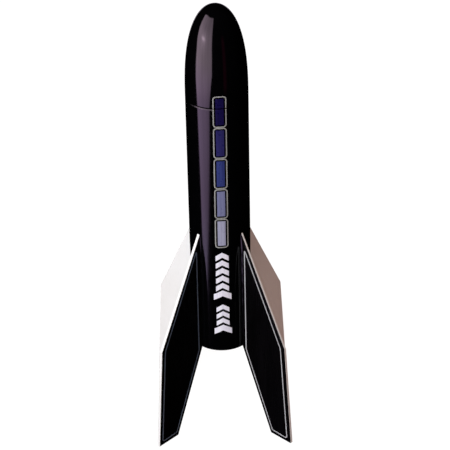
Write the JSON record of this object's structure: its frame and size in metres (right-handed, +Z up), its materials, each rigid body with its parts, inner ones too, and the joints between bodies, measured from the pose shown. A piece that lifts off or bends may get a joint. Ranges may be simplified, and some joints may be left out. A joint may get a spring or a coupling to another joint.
{
  "type": "model rocket",
  "caption": "Kit-built flying model rocket: black tube with rounded nose, swept fins it stands on, rod guide, engine mount with hook, and parachute packed under the nose.",
  "frame": {"origin": "on the rocket's long axis, in the plane the four fin feet stand on", "axes": "+Z up along the axis to the nose tip; -Y is the front, with the windows and markings; +X is to the right seen from the front"},
  "size_m": [0.0954, 0.0954, 0.3169],
  "materials": {
    "tube_paint": "gloss black enamel over a wound paper tube",
    "nose_paint": "gloss black plastic",
    "fin_paint": "two-tone painted thin wood sheet: white, with gloss black on the faces that look to the front and back",
    "window_film": "blue graded decal film with a pale outline",
    "marking_film": "white to lavender decal film",
    "stripe_film": "silver-grey decal film",
    "kraft": "matt brown kraft paper",
    "ring_card": "matt grey-brown card",
    "band_film": "satin yellow paper band",
    "tab_paper": "matt white paper",
    "spring_steel": "bare spring steel strip",
    "casing_paper": "satin tan wound paper",
    "clay": "matt pressed clay",
    "propellant": "matt pressed black powder",
    "delay": "matt pressed composition",
    "brass": "polished brass",
    "wire": "bright plated steel wire",
    "elastic": "woven white elastic cord",
    "canopy_sheet": "satin orange canopy sheet, folded and rolled",
    "line": "twisted white thread",
    "tissue": "crumpled flame-resistant tissue"
  },
  "bodies": {
    "airframe": {"body_tube": "tube_paint", "launch_lug": "tube_paint", "fin_front_left": "fin_paint", "fin_front_right": "fin_paint", "fin_back_left": "fin_paint", "fin_back_right": "fin_paint", "stripe_front_left": "stripe_film", "stripe_front_right": "stripe_film", "stripe_back_left": "stripe_film", "stripe_back_right": "stripe_film", "window_decal": "window_film", "marking_decal": "marking_film", "engine_tube": "kraft", "engine_block": "kraft", "forward_centering_ring": "ring_card", "aft_centering_ring": "ring_card", "hook_retainer_ring": "band_film", "shock_cord_mount": "tab_paper", "shock_cord": "elastic"},
    "recovery": {"recovery_wadding": "tissue", "parachute_canopy": "canopy_sheet", "shroud_lines": "line", "swivel_barrel": "brass", "snap_hook": "wire"},
    "nose": {"nose_cone": "nose_paint", "nose_base": "nose_paint", "swivel_eye": "brass", "window_decal_nose": "window_film"},
    "engine": {"engine_casing": "casing_paper", "engine_nozzle": "clay", "engine_cap": "clay", "propellant_grain": "propellant", "ejection_charge": "propellant", "delay_grain": "delay"},
    "hook": {"engine_hook": "spring_steel"}
  },
  "joints": [
    {"name": "nose_slide", "type": "slide", "parent": "airframe", "child": "recovery", "axis": [0, 0, 1], "range_m": [0, 0.12], "deforming": ["shock_cord"]},
    {"name": "nose_spin", "type": "hinge", "parent": "recovery", "child": "nose", "pos_m": [0, 0, 0.2307], "axis": [0, 0, 1], "continuous": true},
    {"name": "engine_slide", "type": "slide", "parent": "airframe", "child": "engine", "axis": [0, 0, 1], "range_m": [-0.08, 0], "deforming": ["engine_hook"]},
    {"name": "hook_flex", "type": "hinge", "parent": "airframe", "child": "hook", "pos_m": [0, 0.0092, 0.12675], "axis": [1, 0, 0], "range_deg": [0, 4]}
  ]
}
